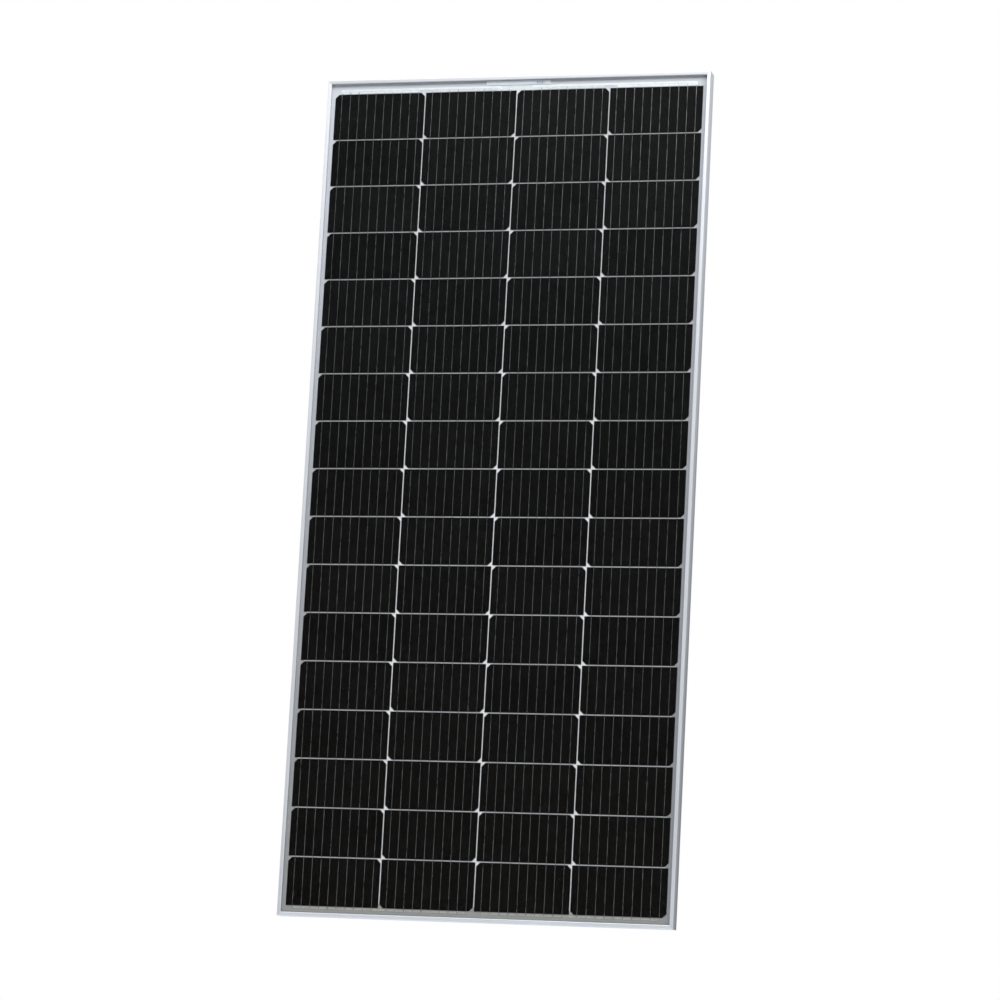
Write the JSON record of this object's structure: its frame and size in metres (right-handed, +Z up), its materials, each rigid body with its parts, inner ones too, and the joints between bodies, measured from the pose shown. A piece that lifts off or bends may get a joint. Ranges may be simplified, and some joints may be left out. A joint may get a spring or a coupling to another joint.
{
  "type": "framed solar panel",
  "caption": "Upright rectangular solar panel: mitred aluminium frame round a glass laminate of half-cut cells, with a junction box with a hinged lid behind.",
  "frame": {"origin": "centre of the plane that the frame's rear flanges lie in, where the panel meets its rack", "axes": "+Z is up along the panel's long side, +X is to the right seen from the front, and the glass faces -Y"},
  "size_m": [0.763, 0.03, 1.626],
  "materials": {
    "anodised_aluminium": "satin clear anodised extrusion",
    "key_steel": "zinc-plated steel",
    "edge_sealant": "off-white silicone",
    "solar_glass": "toughened low-iron glass",
    "encapsulant": "clear ethylene vinyl acetate sheet",
    "silicon_cells": "near-black coated silicon with fine grey ribbons",
    "tinned_ribbon": "tinned copper ribbon",
    "white_sheet": "matt white polymer sheet",
    "label_paper": "white label stock",
    "black_plastic": "black moulded plastic",
    "black_rubber": "black elastomer",
    "silicone_bed": "grey-white silicone adhesive",
    "fastener_steel": "stainless steel",
    "terminal_brass": "tinned brass strip"
  },
  "bodies": {
    "panel": {"backsheet": "white_sheet", "bottom_bus_left": "tinned_ribbon", "bottom_bus_right": "tinned_ribbon", "bypass_diode_left": "black_plastic", "bypass_diode_right": "black_plastic", "cell_string_1": "silicon_cells", "cell_string_2": "silicon_cells", "cell_string_3": "silicon_cells", "cell_string_4": "silicon_cells", "corner_key_bottom_left": "key_steel", "corner_key_bottom_right": "key_steel", "corner_key_top_left": "key_steel", "corner_key_top_right": "key_steel", "edge_seal_bottom": "edge_sealant", "edge_seal_left": "edge_sealant", "edge_seal_right": "edge_sealant", "edge_seal_top": "edge_sealant", "front_encapsulant": "encapsulant", "front_glass": "solar_glass", "gland_body_left": "black_plastic", "gland_body_right": "black_plastic", "gland_nut_left": "black_plastic", "gland_nut_right": "black_plastic", "gland_seal_left": "black_rubber", "gland_seal_right": "black_rubber", "hinge_pin_left": "fastener_steel", "hinge_pin_right": "fastener_steel", "insulating_strip": "white_sheet", "junction_box_base": "black_plastic", "junction_box_bed": "silicone_bed", "lead_out_centre": "tinned_ribbon", "lead_out_left": "tinned_ribbon", "lead_out_right": "tinned_ribbon", "rail_bottom": "anodised_aluminium", "rail_left": "anodised_aluminium", "rail_right": "anodised_aluminium", "rail_top": "anodised_aluminium", "rating_label": "label_paper", "rear_encapsulant": "encapsulant", "serial_label": "label_paper", "terminal_centre": "terminal_brass", "terminal_left": "terminal_brass", "terminal_right": "terminal_brass", "top_bus_centre": "tinned_ribbon", "top_bus_left": "tinned_ribbon", "top_bus_right": "tinned_ribbon"},
    "lid": {"junction_box_lid": "black_plastic", "lid_gasket": "black_rubber", "lid_screw_left": "fastener_steel", "lid_screw_right": "fastener_steel"}
  },
  "joints": [
    {"name": "lid_hinge", "type": "hinge", "parent": "panel", "child": "lid", "pos_m": [0, -0.0098, 0.769], "axis": [1, 0, 0], "range_deg": [0, 120]}
  ]
}
